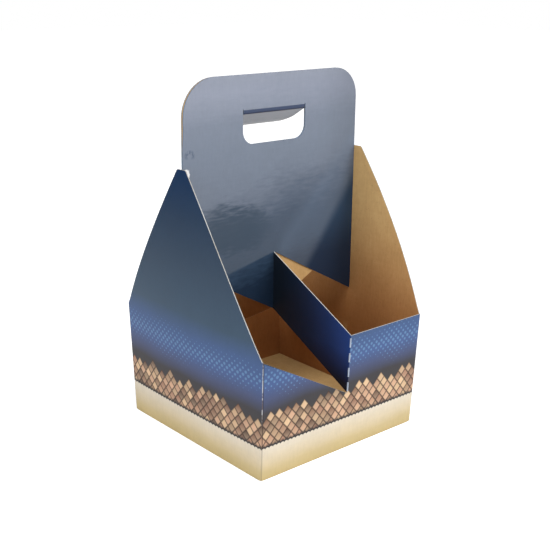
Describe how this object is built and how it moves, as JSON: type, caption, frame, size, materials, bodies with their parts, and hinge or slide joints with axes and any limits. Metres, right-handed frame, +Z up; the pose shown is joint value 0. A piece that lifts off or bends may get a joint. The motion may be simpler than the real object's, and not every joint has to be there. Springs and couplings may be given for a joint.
{
  "type": "cardboard cup carrier",
  "caption": "Folded cardboard carrier for takeaway cups: an open box with gabled ends, slanting straps that divide it into cells, and a tall carrying handle with a hand hole.",
  "frame": {"origin": "middle of the box's footprint, on the surface it stands on", "axes": "+Z up, +X along the front wall towards the right gable, +Y from the front wall to the back wall, square to the handle"},
  "size_m": [0.2213, 0.214, 0.352],
  "materials": {
    "printed_board": "glossy print outside, bare kraft inside"
  },
  "bodies": {
    "root": {"cup_carrier": "printed_board"}
  },
  "joints": []
}
